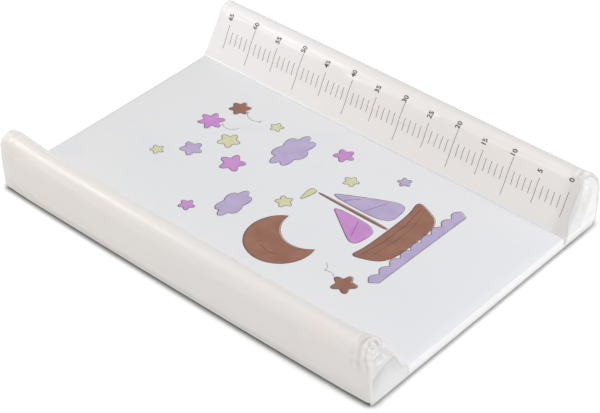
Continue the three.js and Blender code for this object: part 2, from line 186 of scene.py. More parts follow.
def filmMaterial(name, colour, cloud, blush, caps=None, edge=None):
    # PVC film: faint clouds of tint, a soft roll in the surface and a fine grain
    f = film
    material, tree, shader, place = startFilm(name)
    clouds = spread(tree, addNoise(tree, place, f["cloudScale"]), 0, 1)
    tinted = blendColours(tree, clouds, colour, cloud)
    tinted = tintBy(tree, tinted, addNoise(tree, place, f["blushScale"], 3), f["blushRange"], blush)
    along, across, height = axesOf(tree, place)
    if caps:
        # the strip by the lying panel takes the panel's tint with painted shade, the caps take painted light
        # and shade of their own, and the rim, seams and folds get painted light or shade
        strip = tintBy(tree, tinted, height, f["stripHeight"], f["stripTintAndShade"])
        tinted = tintBy(tree, tinted, magnitude(tree, across), f["stripReach"], strip)
        # painted light and shade towards the far left end of the bolster
        tinted = tintBy(tree, tinted, along, f["farLeft"], caps["farLeft"], f["tintShare"])
        seamGap = readAttribute(tree, "seamGap")
        # the cap's tint, painted paler towards the floor
        cap = tintBy(tree, caps["middle"], height, f["capHeight"], caps["foot"])
        tinted = tintBy(tree, tinted, seamGap, f["capEdge"], cap)
        # painted light along the bottom of the film, by the floor
        tinted = tintBy(tree, tinted, height, f["rimLightHeight"], f["rimLightColour"])
        # painted shade along each end seam
        tinted = tintBy(tree, tinted, magnitude(tree, seamGap), f["seamShade"], caps["seam"])
        # painted shade in the folds
        folds = readAttribute(tree, "foldShade")
        tinted = tintBy(tree, tinted, folds, (0, 1), f["foldShadeColour"], f["foldShadeShare"])
    if edge:
        # painted light towards the near right of the panel
        tinted = tintBy(tree, tinted, along, f["nearRight"], f["panelLitColour"], f["tintShare"])
        # the end bands of the panel are whiter, partly the film's own colour and partly painted light on the
        # ends
        tinted = tintBy(tree, tinted, magnitude(tree, along), (edge, edge + mm), f["edgeTintAndLight"])
    tree.links.new(tinted, shader.inputs["Base Color"])
    gloss = spread(tree, addNoise(tree, place, f["blushScale"], 4), *f["glossRange"])
    tree.links.new(gloss, shader.inputs["Roughness"])
    roll = addBump(tree, shader, addNoise(tree, place, f["rollScale"]), f["rollHeight"])
    if caps:
        roll = addBump(tree, shader, seamLines(tree), f["seamHeight"], roll)
    addBump(tree, shader, addNoise(tree, place, f["grainScale"], 1), f["grainHeight"], roll)
    return material


def inkMaterial(name, fresh, worn):
    # printed ink, a little uneven, under the gloss of the film
    material, tree, shader, place = startFilm(name)
    patches = spread(tree, addNoise(tree, place, film["inkScale"], 4), 0, 1)
    tree.links.new(blendColours(tree, patches, paint(*fresh), paint(*worn)), shader.inputs["Base Color"])
    addBump(tree, shader, addNoise(tree, place, film["grainScale"], 1), film["grainHeight"])
    return material


spunCloth = {
    "roughness": 0.85,
    "dotScale": 620,
    "dotScatter": 0.25,
    "dotEdge": (0.12, 0.42),
    "dotColour": paint(196, 196, 196),
    "dotHeight": 0.12 * mm,
    "fibres": {"scale": 900, "detail": 3, "stretch": (1, 0.3, 1)},
    "fibreColours": (paint(226, 226, 224), paint(205, 205, 204)),
    "fibreHeight": 0.06 * mm,
}


def backingMaterial():
    # spun-bonded cloth, pressed with a close pattern of dots
    c = spunCloth
    material, tree, shader, place = startMaterial("spunCloth", c["roughness"])
    facts = {"Vector": place, "Scale": c["dotScale"], "Randomness": c["dotScatter"]}
    pressed = spread(tree, addNode(tree, "TexVoronoi", facts, "Distance"), 0, 1, *c["dotEdge"])
    fibres = addNoise(tree, place, **c["fibres"])
    fibreColour = blendColours(tree, spread(tree, fibres, 0, 1), *c["fibreColours"])
    colour = blendColours(tree, pressed, c["dotColour"], fibreColour)
    tree.links.new(colour, shader.inputs["Base Color"])
    under = addBump(tree, shader, fibres, c["fibreHeight"])
    addBump(tree, shader, pressed, c["dotHeight"], under)
    return material


fibreboard = {
    "roughness": 0.62,
    "fibres": {"scale": 420, "detail": 5, "stretch": (0.35, 1, 1)},
    "patches": {"scale": 30, "detail": 3},
    "patchColours": (paint(134, 98, 66), paint(116, 82, 54)),
    "fibreColour": paint(160, 122, 86),
    "fibreHeight": 0.15 * mm,
}


def boardMaterial():
    c = fibreboard
    material, tree, shader, place = startMaterial("hardboard", c["roughness"])
    fibres = addNoise(tree, place, **c["fibres"])
    patches = spread(tree, addNoise(tree, place, **c["patches"]), 0, 1)
    ground = blendColours(tree, patches, *c["patchColours"])
    colour = blendColours(tree, spread(tree, fibres, 0, 1), ground, c["fibreColour"])
    tree.links.new(colour, shader.inputs["Base Color"])
    addBump(tree, shader, fibres, c["fibreHeight"])
    return material


stapleWire = {
    "roughness": (0.28, 0.5),
    "streaks": {"scale": 700, "detail": 3, "stretch": (1, 1, 4)},
    "colours": (paint(196, 198, 200), paint(150, 150, 148)),
    "streakHeight": 0.02 * mm,
}


def wireMaterial():
    c = stapleWire
    material, tree, shader, place = startMaterial("galvanisedWire", c["roughness"][0])
    shader.inputs["Metallic"].default_value = 1.0
    streaks = addNoise(tree, place, **c["streaks"])
    colour = blendColours(tree, spread(tree, streaks, 0, 1), *c["colours"])
    tree.links.new(colour, shader.inputs["Base Color"])
    tree.links.new(spread(tree, streaks, *c["roughness"]), shader.inputs["Roughness"])
    addBump(tree, shader, streaks, c["streakHeight"])
    return material


frontTints = (paint(239, 235, 231), paint(236, 233, 230), paint(240, 232, 229))
# the front caps are painted darker than their film, as shade, and paler towards the floor, with painted
# shade at the seam and a warmer, darker tint towards the far left end
frontCapLightAndShade = {
    "middle": paint(227, 226, 226),
    "foot": paint(238, 238, 238),
    "seam": paint(236, 234, 232),
    "farLeft": paint(239, 232, 226),
}
# the rear film is painted a little lighter than the front one, as light on the rear slope
rearLitTints = (paint(242, 238, 234), paint(239, 236, 233), paint(243, 235, 232))
# the rear caps are painted lighter than their film, as light, and paler still towards the floor, with
# painted shade at the seam and a lighter tint towards the far left end
rearCapLightAndShade = {
    "middle": paint(246, 245, 245),
    "foot": paint(254, 254, 254),
    "seam": paint(226, 224, 223),
    "farLeft": paint(248, 245, 245),
}
panelTints = (paint(230, 231, 232), paint(232, 232, 233), paint(228, 229, 233))
panelEdge = 348.6 * mm
hemTints = (paint(240, 239, 238), paint(236, 235, 234), paint(240, 236, 234))
frontFilm = filmMaterial("frontFilm", *frontTints, caps=frontCapLightAndShade)
rearLitFilm = filmMaterial("rearLitFilm", *rearLitTints, caps=rearCapLightAndShade)
panelFilm = filmMaterial("panelFilm", *panelTints, edge=panelEdge)
hemFilm = filmMaterial("hemFilm", *hemTints)
backing = backingMaterial()
hardboard = boardMaterial()
wire = wireMaterial()
inkPaints = {
    # each ink where it is fresh and where it is worn
    "greyInk": [(112, 108, 104), (128, 124, 120)],
    "darkInk": [(58, 56, 55), (74, 71, 69)],
    "lineInk": [(58, 42, 42), (76, 58, 56)],
    "brownInk": [(146, 98, 78), (158, 110, 90)],
    "lilacInk": [(182, 166, 206), (192, 178, 212)],
    "orchidInk": [(200, 136, 204), (206, 148, 210)],
    "oliveInk": [(214, 212, 168), (220, 218, 178)],
}
inks = {name: inkMaterial(name, *paints) for name, paints in inkPaints.items()}
print("materials made")


def inScene(name, data):
    made = bpy.data.objects.new(name, data)
    scene.collection.objects.link(made)
    return made


def meshObject(name, bm):
    mesh = bpy.data.meshes.new(name)
    bm.to_mesh(mesh)
    return inScene(name, mesh)


def finishPiece(name, bm, material, sharpAngle=None):
    bmesh.ops.recalc_face_normals(bm, faces=bm.faces)
    piece = meshObject(name, bm)
    bm.free()
    mesh = piece.data
    mesh.materials.append(material)
    mesh.shade_smooth()
    if sharpAngle:
        mesh.set_sharp_from_angle(angle=math.radians(sharpAngle))
    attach(piece, "root")
    return piece


def addBox(bm, low, high):
    made = bmesh.ops.create_cube(bm, size=1)["verts"]
    bmesh.ops.scale(bm, vec=high - low, verts=made)
    bmesh.ops.translate(bm, vec=(high + low) / 2, verts=made)


def lineFrom(bm, start, end, parts):
    # straight run of edges from a vertex, returned as its vertices
    first, path = start.co.copy(), []
    for k in range(1, parts + 1):
        start = bmesh.ops.extrude_vert_indiv(bm, verts=[start])["verts"][0]
        start.co = first.lerp(end, k / parts)
        path.append(start)
    return path


def arcFrom(bm, start, centre, axis, degrees, steps):
    before = len(bm.verts)
    turn = math.radians(degrees)
    bmesh.ops.spin(bm, geom=[start], cent=centre, axis=axis, angle=turn, steps=steps)
    return list(bm.verts)[before:]


def edgesAlong(path):
    return [next(e for e in a.link_edges if e.other_vert(a) is b) for a, b in zip(path, path[1:])]


def cutRows(bm, positions, axis):
    # cuts straight rows across the piece, so that it can bend there
    normal = Vector([float(k == axis) for k in range(3)])
    for position in positions:
        every = [*bm.verts, *bm.edges, *bm.faces]
        bmesh.ops.bisect_plane(bm, geom=every, plane_co=normal * position, plane_no=normal, dist=1e-6)


def rowPositions(half, firstGaps, step):
    # rows close together near both ends, then evenly spaced
    edge, near = half, []
    for gap in firstGaps:
        edge -= gap
        near.append(edge)
    count = max(1, round(2 * edge / step))
    middle = [edge - 2 * edge * k / count for k in range(1, count)]
    return sorted({round(x, 6) for x in near + middle + [-x for x in near]})


def smoothStep(value, low, high):
    share = min(1.0, max(0.0, (value - low) / (high - low)))
    return share * share * (3 - 2 * share)


ridgePlace = 1.9  # half widths from the middle of a fold to the ridge beside it


def foldShape(away, ridge, sharpness=1):
    # a valley with a ridge at each side of it, by the distance from its middle in half widths
    return ridge * math.exp(-sharpness * (abs(away) - ridgePlace) ** 2) - math.exp(-away ** 2)


blowFrames = 20
filmCloth = {
    "quality": 6,
    "mass": 0.3,
    "tension_stiffness": 14,
    "compression_stiffness": 14,
    "shear_stiffness": 7,
    "bending_stiffness": 1.2,
    "shrink_min": -0.004,
}


def inflate(bm, heldShare, facts):
    # blows the film up a little as cloth, held along its seams, and limits how far it moves
    blown = meshObject("blown", bm)
    group = blown.vertex_groups.new(name="held")
    for vertex in blown.data.vertices:
        group.add([vertex.index], heldShare(vertex.co), "REPLACE")
    cloth = blown.modifiers.new("cloth", "CLOTH")
    settings = setUp(cloth.settings, vertex_group_mass="held", use_pressure=True, **filmCloth)
    settings.uniform_pressure_force = facts["pressure"]
    settings.effector_weights.gravity = 0
    cloth.collision_settings.use_collision = False
    setUp(cloth.point_cache, frame_start=1, frame_end=blowFrames)
    for moment in range(1, blowFrames + 1):
        scene.frame_set(moment)
    result = blown.evaluated_get(bpy.context.evaluated_depsgraph_get())
    reach = 0.0
    bm.verts.ensure_lookup_table()
    bm.normal_update()
    for vertex, after in zip(bm.verts, result.data.vertices):
        move = after.co - vertex.co
        outwards = move.dot(vertex.normal)
        if outwards < -facts["dent"]:
            move *= facts["dent"] / -outwards
        if move.length > facts["limit"]:
            move *= facts["limit"] / move.length
        reach = max(reach, move.length)
        vertex.co += move
    bpy.data.objects.remove(blown)
    scene.frame_set(1)
    print("  blown up, furthest move in mm:", round(reach / mm, 2))


def subdivided(piece):
    setUp(piece.modifiers.new("smooth", "SUBSURF"), levels=1, render_levels=1)


def surfaceOf(piece):
    return BVHTree.FromObject(piece, bpy.context.evaluated_depsgraph_get())


def fillEnd(bm, sides, cuts):
    # a grid across the end of a piece, between its two side paths
    held = set(sides)
    bmesh.ops.bridge_loops(bm, edges=sides)
    across = [e for e in bm.edges if e not in held]
    bmesh.ops.subdivide_edges(bm, edges=across, cuts=cuts, use_grid_fill=True)


def drawOut(bm, run, rows, axis):
    # draws the end out along its piece and cuts rows across it
    drawn = bmesh.ops.extrude_face_region(bm, geom=list(bm.faces))["geom"]
    drawnVerts = [g for g in drawn if isinstance(g, bmesh.types.BMVert)]
    bmesh.ops.translate(bm, verts=drawnVerts, vec=run)
    cutRows(bm, rows, axis)
    bmesh.ops.recalc_face_normals(bm, faces=bm.faces)


rearLow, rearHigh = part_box("rear_bolster_cover")
bolster = {
    "halfLength": 349.7 * mm,
    "innerY": rearLow.y,
    "underZ": rearLow.z,
    "seamZ": 17.7 * mm,
    "lyingZ": 18.5 * mm,
    "filletRadius": 3 * mm,
    "footY": 176 * mm,
    "crestY": 230.8 * mm,
    "crestZ": 74.5 * mm,
    "crestRadius": 18 * mm,
    "cornerRadius": 2 * mm,
    "topHalfDegrees": 30,
    # edges of the outline: corner, outer face and crest, and edge, strip, fillet, slope and crest
    "outerSteps": (3, 17, 14),
    "innerSteps": (3, 1, 4, 17, 9),
    "acrossCuts": 19,
    # radius of the ends, and where it turns from the flanks to the crest and fades at the foot
    "endRadius": 3.6 * mm,
    "endCrest": 6 * mm,
    "endFoot": (14 * mm, 34 * mm),
    "endGaps": [g * mm for g in (0.4, 0.9, 1.3, 1.6, 1.9, 2.2, 2.5, 2.8, 3.1, 3.6, 4.2, 4.8, 5.4)],
    "gatherGaps": [g * mm for g in (6.4, 7.8, 9.4, 11.2, 13, 15, 17, 19.5, 22, 25, 29, 34)],
    "rowStep": 7.8 * mm,
}
footToCrest = Vector((bolster["crestY"] - bolster["footY"], bolster["crestZ"] - bolster["lyingZ"]))
bolster["slope"] = math.atan2(footToCrest.y, footToCrest.x)
bolster["slope"] += math.asin(bolster["crestRadius"] / footToCrest.length)
bolster["filletY"] = bolster["footY"] - bolster["filletRadius"] * math.tan(bolster["slope"] / 2)
bolsterCloth = {
    "pressure": 4,
    "limit": 2.2 * mm,
    "dent": 0.6 * mm,
    # how far in from each seam the film is held, and how firmly at the ends
    "heldSide": 6 * mm,
    "heldUnder": (4 * mm, 14 * mm),
    "heldFoot": 20 * mm,
    "heldFootHeight": 45 * mm,
    "heldEnd": 0.9,
    "heldEndReach": 0.2 * mm,
    "heldEndDepth": 0.6 * mm,
}


def bolsterBody():
    # a bolster along X, at the rear of the mat: a grid across its end, drawn out along its length
    b = bolster
    bm = bmesh.new()
    start = -b["halfLength"]
    axis = (1, 0, 0)
    crest = Vector((start, b["crestY"], b["crestZ"]))
    faceY = b["crestY"] + b["crestRadius"]
    corner = (start, faceY - b["cornerRadius"], b["underZ"] + b["cornerRadius"])
    lowest = bm.verts.new((start, corner[1], b["underZ"]))
    cornerSteps, faceSteps, crestSteps = b["outerSteps"]
    outer = [lowest] + arcFrom(bm, lowest, corner, axis, 90, cornerSteps)
    outer += lineFrom(bm, outer[-1], Vector((start, faceY, b["crestZ"])), faceSteps)
    outer += arcFrom(bm, outer[-1], crest, axis, 90 - b["topHalfDegrees"], crestSteps)
    edgeSteps, stripSteps, filletSteps, slopeSteps, crestSteps = b["innerSteps"]
    inner = [bm.verts.new((start, b["innerY"], b["underZ"]))]
    inner += lineFrom(bm, inner[0], Vector((start, b["innerY"], b["seamZ"])), edgeSteps)
    inner += lineFrom(bm, inner[-1], Vector((start, b["filletY"], b["lyingZ"])), stripSteps)
    filletCentre = (start, b["filletY"], b["lyingZ"] + b["filletRadius"])
    slopeDegrees = math.degrees(b["slope"])
    inner += arcFrom(bm, inner[-1], filletCentre, axis, slopeDegrees, filletSteps)
    towards = Vector((0, -math.sin(b["slope"]), math.cos(b["slope"])))
    inner += lineFrom(bm, inner[-1], crest + towards * b["crestRadius"], slopeSteps)
    inner += arcFrom(bm, inner[-1], crest, axis, b["topHalfDegrees"] - slopeDegrees, crestSteps)
    chord = outer[-1].co.z
    fillEnd(bm, edgesAlong(outer) + edgesAlong(inner), b["acrossCuts"])
    # the top row follows the crest, and the rows under it follow less and less
    for vertex in bm.verts:
        offset = vertex.co.y - b["crestY"]
        if abs(offset) < b["crestRadius"] and vertex.co.z > b["crestZ"]:
            rise = b["crestZ"] + math.sqrt(b["crestRadius"] ** 2 - offset ** 2) - chord
            share = smoothStep(vertex.co.z, chord - b["crestRadius"] / 2, chord)
            vertex.co.z += max(0.0, rise) * share
    rows = rowPositions(b["halfLength"], b["endGaps"] + b["gatherGaps"], b["rowStep"])
    drawOut(bm, (2 * b["halfLength"], 0, 0), rows, 0)
    return bm


def sectionPlace(place):
    # a point of the cross section: turns round the crest, its distance from the crest's middle line, its
    # depth inside the outline and its share of the way from the outer face to the slope
    b = bolster
    offset = Vector((abs(place.y) - b["crestY"], place.z - b["crestZ"]))
    outwards = Vector((-math.sin(b["slope"]), math.cos(b["slope"])))
    upwards = Vector((math.cos(b["slope"]), math.sin(b["slope"])))
    angle = math.degrees(math.atan2(offset.y, offset.x))
    if offset.y > 0 and offset.dot(upwards) > 0:
        depth = b["crestRadius"] - offset.length
    else:
        depth = b["crestRadius"] - max(offset.x, offset.dot(outwards))
    run = max(0.0, place.z - b["lyingZ"]) / math.tan(b["slope"])
    width = b["crestY"] + b["crestRadius"] - b["footY"] - run
    share = (b["crestRadius"] - offset.x) / max(width, 1 * mm)
    return angle, offset, depth, min(1.0, max(0.0, share))


def roundEnds(bm):
    # turns the film in over each end along a small radius
    b = bolster
    for vertex in bm.verts:
        gap = b["endRadius"] - (b["halfLength"] - abs(vertex.co.x))
        if gap <= 0:
            continue
        inset = b["endRadius"] - math.sqrt(max(0.0, b["endRadius"] ** 2 - gap ** 2))
        _, offset, _, share = sectionPlace(vertex.co)
        sideways = 1 - share - share * math.sin(b["slope"])
        overFlanks = Vector((sideways, share * math.cos(b["slope"])))
        overCrest = offset / b["crestRadius"]
        high = smoothStep(vertex.co.z, b["crestZ"] - b["endCrest"], b["crestZ"] + b["endCrest"])
        low = 1 - share * (1 - smoothStep(vertex.co.z, *b["endFoot"]))
        shift = overFlanks.lerp(overCrest, high) * inset * low
        vertex.co.y -= shift.x
        vertex.co.z -= shift.y


def heldBolster(place):
    # the film is held under the board, down the seam beside the lying panel, and round each end
    b, c = bolster, bolsterCloth
    side = 1 - smoothStep(abs(place.y), b["innerY"], b["innerY"] + c["heldSide"])
    low = 1 - smoothStep(place.z - b["underZ"], *c["heldUnder"])
    seam = 0.0
    if abs(place.x) > b["halfLength"] - c["heldEndReach"]:
        depth = sectionPlace(place)[2]
        seam = c["heldEnd"] if depth < b["endRadius"] + c["heldEndDepth"] else 0.0
    foot = smoothStep(b["crestY"] - abs(place.y), 0, c["heldFoot"])
    foot *= 1 - (place.z - b["lyingZ"]) / c["heldFootHeight"]
    return min(1.0, max(low, foot, side * (place.z < b["lyingZ"]), seam))


gathers = {
    # how far from an end the film is gathered, and how much of it is left at the left ends
    "reach": 60 * mm,
    "leftShare": 0.25,
    # angle round the crest in degrees from level at the outer face, its half width, depth and reach
    "rear": [(24, 9, 1.2, 26), (60, 9, 1.5, 30), (96, 9, 1.6, 26), (130, 8, 1.4, 26), (152, 7, 1.0, 34)],
    "front": [(20, 9, 1.2, 12), (46, 9, 2.0, 14), (72, 8, 2.6, 15), (99, 8, 2.8, 18), (128, 7, 2.2, 18)],
    # the depth in the cap at which they fade, how far under the crest they begin, and their ridges
    "cover": (5 * mm, 12 * mm),
    "below": 10 * mm,
    "leftTurn": 9,
    "uneven": 0.2,
    "ridgeShare": 0.5,
    "ridgeSharpness": 1.6,
    # a finer crumple over them
    "crumple": {"rear": 1.1 * mm, "front": 2.2 * mm},
    "crumpleScale": 105,
    "crumpleStretch": 0.7,
    "crumpleReach": 24 * mm,
    "crumpleRise": 4 * mm,
    # puckers along the end seam
    "puckerDepth": 1.3 * mm,
    "puckerScale": 95,
    "puckerTurn": 0.00075,
    "puckerLeast": 0.35,
    "puckerReach": 15 * mm,
    "puckerCover": (6 * mm, 16 * mm),
    "puckerFoot": 16 * mm,
    # pleats across the crest and down one face: distance from the end, half width and depth in mm, the
    # angles between which they run out over the crest, and the heights between which they do below it
    "pleats": {
        "rear": [(4.5, 2.4, 1.6), (12, 4, 2.2)],
        "front": [(4.2, 2.3, 2.0), (15.5, 2.8, 3.2), (27, 3.2, 2.0)],
    },
    "pleatRidge": 0.8,
    "pleatEnds": {"rear": (38, 84), "front": (128, 90)},
    "pleatHeight": (46 * mm, 76 * mm),
    "pleatCover": 9 * mm,
    # the depth of fold that holds full shade
    "fullShade": 4.5 * mm,
    # shade beside the end seam of the slope, how far along it is felt, and how it fades over the crest
    "endShade": 0.42,
    "endShadeReach": (36 * mm, 14 * mm),
    "endShadeTurn": (100, 140),
}
capFolds = {
    # creases across the caps: points of the fold (y, z), its depth and half width, in mm
    "front": [
        ([(-244, 34), (-239, 44), (-231, 51), (-221, 55.5), (-209, 56), (-200, 53)], 3.0, 6),
        ([(-240, 26), (-228, 40), (-214, 44), (-202, 40)], 1.0, 8),
        ([(-200, 48), (-192, 35), (-185, 23)], 3.4, 2.4),
        ([(-238, 73), (-233, 74.5)], 2.2, 3),
        ([(-229, 90), (-224, 78), (-217, 68)], 1.3, 3.6),
        ([(-246, 30), (-243, 21), (-245, 11)], 1.5, 3.2),
    ],
    "rear": [
        ([(214, 84), (209, 74), (206, 60), (205, 48)], 1.8, 5),
        ([(236, 88), (235, 70), (238, 52), (243, 38)], 0.8, 4.5),
        ([(190, 40), (204, 30), (222, 26), (240, 30)], 0.9, 6),
        ([(204, 60), (196, 44), (190, 30)], 1.0, 3.5),
    ],
    # their ridges, how thick the cap is, how wide its smooth rim, and the soft waves over all of it
    "ridge": 0.5,
    "thickness": 2.5 * mm,
    "rim": 3 * mm,
    "waveDepth": 0.7 * mm,
    "waveScale": 45,
}


def nearness(place, path):
    # distance from a point to a line of points, in a plane
    best = 1e9
    for a, b in zip(path, path[1:]):
        run = b - a
        share = min(1.0, max(0.0, (place - a).dot(run) / run.length_squared))
        best = min(best, (place - a - run * share).length)
    return best


def crestPush(place, end, angle, depth, gap):
    # gathers round the end of the crest, with a finer crumple in them
    g = gathers
    endSide = math.copysign(1, place.x)
    push = 0.0
    turn = 0 if endSide > 0 else g["leftTurn"]
    for middle, width, deep, reach in g[end]:
        away = (angle - middle - turn * math.sin(middle)) / width
        reach *= mm * (1 + g["uneven"] * endSide * math.cos(middle))
        fade = 1 - smoothStep(gap, 0, reach)
        push += foldShape(away, g["ridgeShare"], g["ridgeSharpness"]) * deep * mm * fade
    push *= 1 - smoothStep(depth, *g["cover"])
    spot = Vector((gap * g["crumpleStretch"], place.y, place.z)) * g["crumpleScale"]
    ridge = 0.5 - 2 * abs(noise.noise(spot + Vector((0, 0, 5 * endSide))))
    high = smoothStep(place.z - bolster["crestZ"], -g["below"], g["crumpleRise"])
    return push + ridge * g["crumple"][end] * high * (1 - smoothStep(gap, 0, g["crumpleReach"]))


def pleatPush(height, end, around, gap):
    g = gathers
    push = 0.0
    for middle, width, deep in g["pleats"][end]:
        push += foldShape((gap / mm - middle) / width, g["pleatRidge"]) * deep * mm
    return push * smoothStep(height, *g["pleatHeight"]) * smoothStep(around, *g["pleatEnds"][end])


def puckerPush(place, angle, depth, share, gap):
    # fine puckers where the film meets the cap
    g = gathers
    rim = (1 - smoothStep(gap, 0, g["puckerReach"])) * (1 - smoothStep(depth, *g["puckerCover"]))
    if rim <= 0 or place.z <= g["puckerFoot"]:
        return 0.0
    endSide, side = math.copysign(1, place.x), math.copysign(1, place.y)
    spot = Vector((angle * g["puckerTurn"] + endSide, place.z, side)) * g["puckerScale"]
    fine = noise.noise(spot) + 0.5 * noise.noise(spot * 2.3)
    along = share if place.z < bolster["crestZ"] else 0.5
    return fine * g["puckerDepth"] * rim * (g["puckerLeast"] + along)


def creaseCap(vertex, place, depth, folds, shade):
    endSide, side = math.copysign(1, place.x), math.copysign(1, place.y)
    flatPlace = Vector((place.y, place.z))
    inside = smoothStep(depth - bolster["endRadius"], 0, capFolds["rim"])
    for path, deep, width in folds:
        away = nearness(flatPlace, path) / width
        vertex.co.x += endSide * deep * foldShape(away, capFolds["ridge"]) * inside
        # each crease keeps a painted shade for the material
        fold = math.exp(-away ** 2) * deep / gathers["fullShade"] * inside
        vertex[shade] = min(1.0, max(vertex[shade], fold))
    spot = flatPlace.to_3d() * capFolds["waveScale"] + Vector((0, 0, 3 * endSide + side))
    wave = noise.noise(spot)
    vertex.co.x += endSide * capFolds["waveDepth"] * wave * inside


def dressEnds(bm, side):
    # gathers over the ends of the crest, puckers along the end seams and folds in the caps, each fold
    # keeping a painted shade for the material
    b, g = bolster, gathers
    end = "rear" if side > 0 else "front"
    folds = [([Vector(p) * mm for p in path], deep * mm, wide * mm) for path, deep, wide in capFolds[end]]
    shade = bm.verts.layers.float.new("foldShade")
    for vertex in bm.verts:
        gap = b["halfLength"] - abs(vertex.co.x)
        if gap > g["reach"]:
            continue
        place = vertex.co.copy()
        angle, offset, depth, share = sectionPlace(place)
        outwards = offset.normalized() if offset.length > 0 else Vector((0, 1))
        endSide = math.copysign(1, place.x)
        around = angle % 360 if side > 0 else angle
        push = 0.0
        if place.z > b["crestZ"] - g["below"]:
            push += crestPush(place, end, angle, depth, gap)
        if depth < g["pleatCover"] and gap > b["endRadius"] / 2 and -90 < around < 250:
            push += pleatPush(place.z, end, around, gap)
        if endSide < 0:
            push *= g["leftShare"]
        push += puckerPush(place, angle, depth, share, gap)
        vertex.co.y += math.copysign(outwards.x * push, place.y)
        vertex.co.z += outwards.y * push
        vertex[shade] = min(1.0, max(0.0, -push / g["fullShade"]))
        # painted shade on the slope beside the rear right end seam
        if side > 0 and endSide > 0 and 90 < around < 250 and place.z > b["lyingZ"]:
            dim = g["endShade"] * smoothStep(gap, *g["endShadeReach"])
            vertex[shade] = max(vertex[shade], dim * smoothStep(around, *g["endShadeTurn"]))
        if gap < capFolds["thickness"] and depth > b["endRadius"]:
            creaseCap(vertex, place, depth, folds, shade)


lean = {
    # how far the top of each end is drawn in, over which height, and how far along this is felt
    "right": 12 * mm,
    "frontRight": 15 * mm,
    "left": -2 * mm,
    "startZ": 60 * mm,
    "topZ": 93 * mm,
    "reach": 46 * mm,
    # how far the middle of the front crest leans out and sinks, over which height, depth and length
    "sagOut": 3 * mm,
    "sagDown": 3.8 * mm,
    "sagHeight": (30 * mm, 90 * mm),
    "sagAcross": (-246 * mm, -225 * mm),
    "sagStart": -270 * mm,
    "sagEnd": 290 * mm,
    "sagEndShare": 0.85,
    # how far the outer faces bulge at mid height, bow along the mat, and hang at the bottom
    "outer": (222 * mm, 246 * mm),
    "bulge": 2.8 * mm,
    "bulgeHeight": 100 * mm,
    "bow": 2.4 * mm,
    "hang": 1.6 * mm,
    "hangHeight": (6 * mm, 30 * mm),
    # how far the lowest corners are tucked in, how far along each side this is felt, and how high
    "tuck": 2.6 * mm,
    "tuckReach": 9 * mm,
    "tuckHeight": 9 * mm,
    # how far the rear outer face puffs out near its right end, and the end caps of the rear bolster
    "rearPuff": 1.6 * mm,
    "rearPuffHeight": (2 * mm, 16 * mm),
    "rearPuffAlong": (229.7 * mm, 319.7 * mm),
    "capPuff": {"right": 2 * mm, "left": 2.6 * mm},
    "capPuffHeight": (2 * mm, 18 * mm),
    # how far the near end of the front crest widens towards the lying panel
    "spread": 5 * mm,
    "spreadReach": 72 * mm,
    "spreadAcross": (-244 * mm, -222 * mm),
    "spreadHeight": (28 * mm, 76 * mm),
}


def leanOf(place):
    # how far the end is drawn in at this place, or puffed out where this is less than nothing
    end = "right" if place.x > 0 else "left"
    share = min(1.0, max(0.0, (place.z - lean["startZ"]) / (lean["topZ"] - lean["startZ"])))
    drawn = lean["frontRight" if place.y < 0 < place.x else end] * share ** 2
    if place.y > 0:
        drawn -= lean["capPuff"][end] * smoothStep(place.z, *lean["capPuffHeight"])
    return drawn


def tuckIn(place, share=1.0):
    # rounds the lowest corners of the mat in plan
    reach = lean["tuckReach"]
    near = smoothStep(abs(place.x), bolster["halfLength"] - reach, bolster["halfLength"])
    near *= smoothStep(abs(place.y), rearHigh.y - reach, rearHigh.y)
    drawn = share * lean["tuck"] * near * (1 - smoothStep(place.z, 0, lean["tuckHeight"]))
    place.x -= math.copysign(drawn, place.x)
    place.y -= math.copysign(drawn, place.y)


def sagFront(place):
    # the front crest leans out and sinks between its ends
    high = smoothStep(place.z, *lean["sagHeight"])
    along = smoothStep(place.x, -bolster["halfLength"], lean["sagStart"])
    along *= 1 - lean["sagEndShare"] * smoothStep(place.x, lean["sagEnd"], bolster["halfLength"])
    place.y -= lean["sagOut"] * high * along * smoothStep(place.y, *lean["sagAcross"])
    place.z -= lean["sagDown"] * high * along


def leanEnds(bm, side):
    half, reach = bolster["halfLength"], lean["reach"]
    for vertex in bm.verts:
        place = vertex.co
        gap = half - abs(place.x)
        if gap < reach:
            drawn = leanOf(place)
            place.x = math.copysign(half - drawn - gap * (1 - drawn / reach), place.x)
        outer = smoothStep(abs(place.y), *lean["outer"])
        if side > 0:
            puff = smoothStep(place.z, *lean["rearPuffHeight"]) * smoothStep(place.x, *lean["rearPuffAlong"])
            place.y += lean["rearPuff"] * outer * puff
        else:
            if place.x > 0:
                wide = 1 - smoothStep(gap, 0, lean["spreadReach"])
                wide *= smoothStep(place.y, *lean["spreadAcross"])
                place.y += lean["spread"] * wide * smoothStep(place.z, *lean["spreadHeight"])
            sagFront(place)
        middle = 1 - min(1.0, abs(place.x) / half) ** 2
        swell = lean["bow"] * middle
        swell += lean["bulge"] * math.sin(math.pi * min(1.0, max(0.0, place.z / lean["bulgeHeight"])))
        place.y += math.copysign(swell * outer, place.y)
        low = 1 - smoothStep(place.z, *lean["hangHeight"])
        place.z -= lean["hang"] * outer * min(1.0, middle * 4) * low
        tuckIn(place)


capSeam = {
    # how thick the cap is at the end, and how far into the rounded end it reaches
    "thickness": 3.2 * mm,
    "overlap": 0.5 * mm,
    # how far the seam of the rear right cap comes round onto the slope, bringing the cap's painted lighter
    # tint over the rounded edge, between which heights and shares
    "shift": 9 * mm,
    "rise": (12 * mm, 46 * mm),
    "fall": (98 * mm, 66 * mm),
    "slopeShare": (0.35, 0.8),
}


